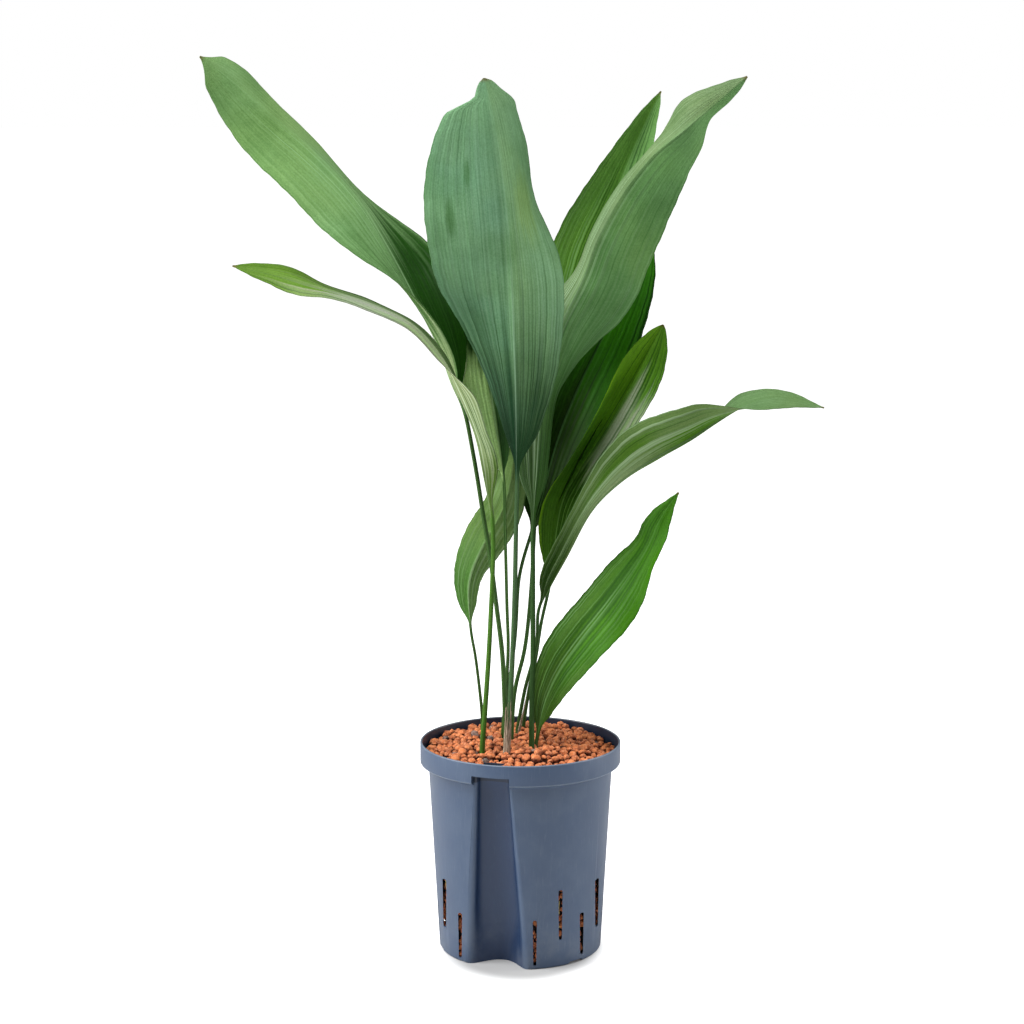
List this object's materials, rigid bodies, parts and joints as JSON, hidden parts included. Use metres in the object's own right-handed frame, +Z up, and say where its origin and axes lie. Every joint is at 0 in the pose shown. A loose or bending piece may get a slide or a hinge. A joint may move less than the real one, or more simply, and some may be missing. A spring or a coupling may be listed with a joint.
{
  "type": "potted cast iron plant",
  "caption": "Cast iron plant with long pointed leaves, growing in clay granules in a blue-grey hydroculture pot with an indicator channel.",
  "frame": {"origin": "centre of the pot's flat underside", "axes": "+Z up along the pot's axis; -Y is the plant's front, and +X is to the right seen from the front"},
  "size_m": [0.5409, 0.2204, 0.7986],
  "materials": {
    "pot": "satin",
    "clay": "matte",
    "root": "matte",
    "leaf": "satin",
    "sheath": "matte"
  },
  "bodies": {
    "root": {"culture_pot": "pot", "clay_granules": "clay", "rhizome": "root", "leaf_big_left": "leaf", "leaf_thin_left": "leaf", "leaf_centre": "leaf", "leaf_lower_left": "leaf", "leaf_behind_centre": "leaf", "leaf_lower_right": "leaf", "leaf_big_right": "leaf", "leaf_upper_right": "leaf", "leaf_dark_right": "leaf", "leaf_mid_right": "leaf", "leaf_arching_right": "leaf", "dry_sheath_centre": "sheath", "dry_sheath_right": "sheath"}
  },
  "joints": []
}
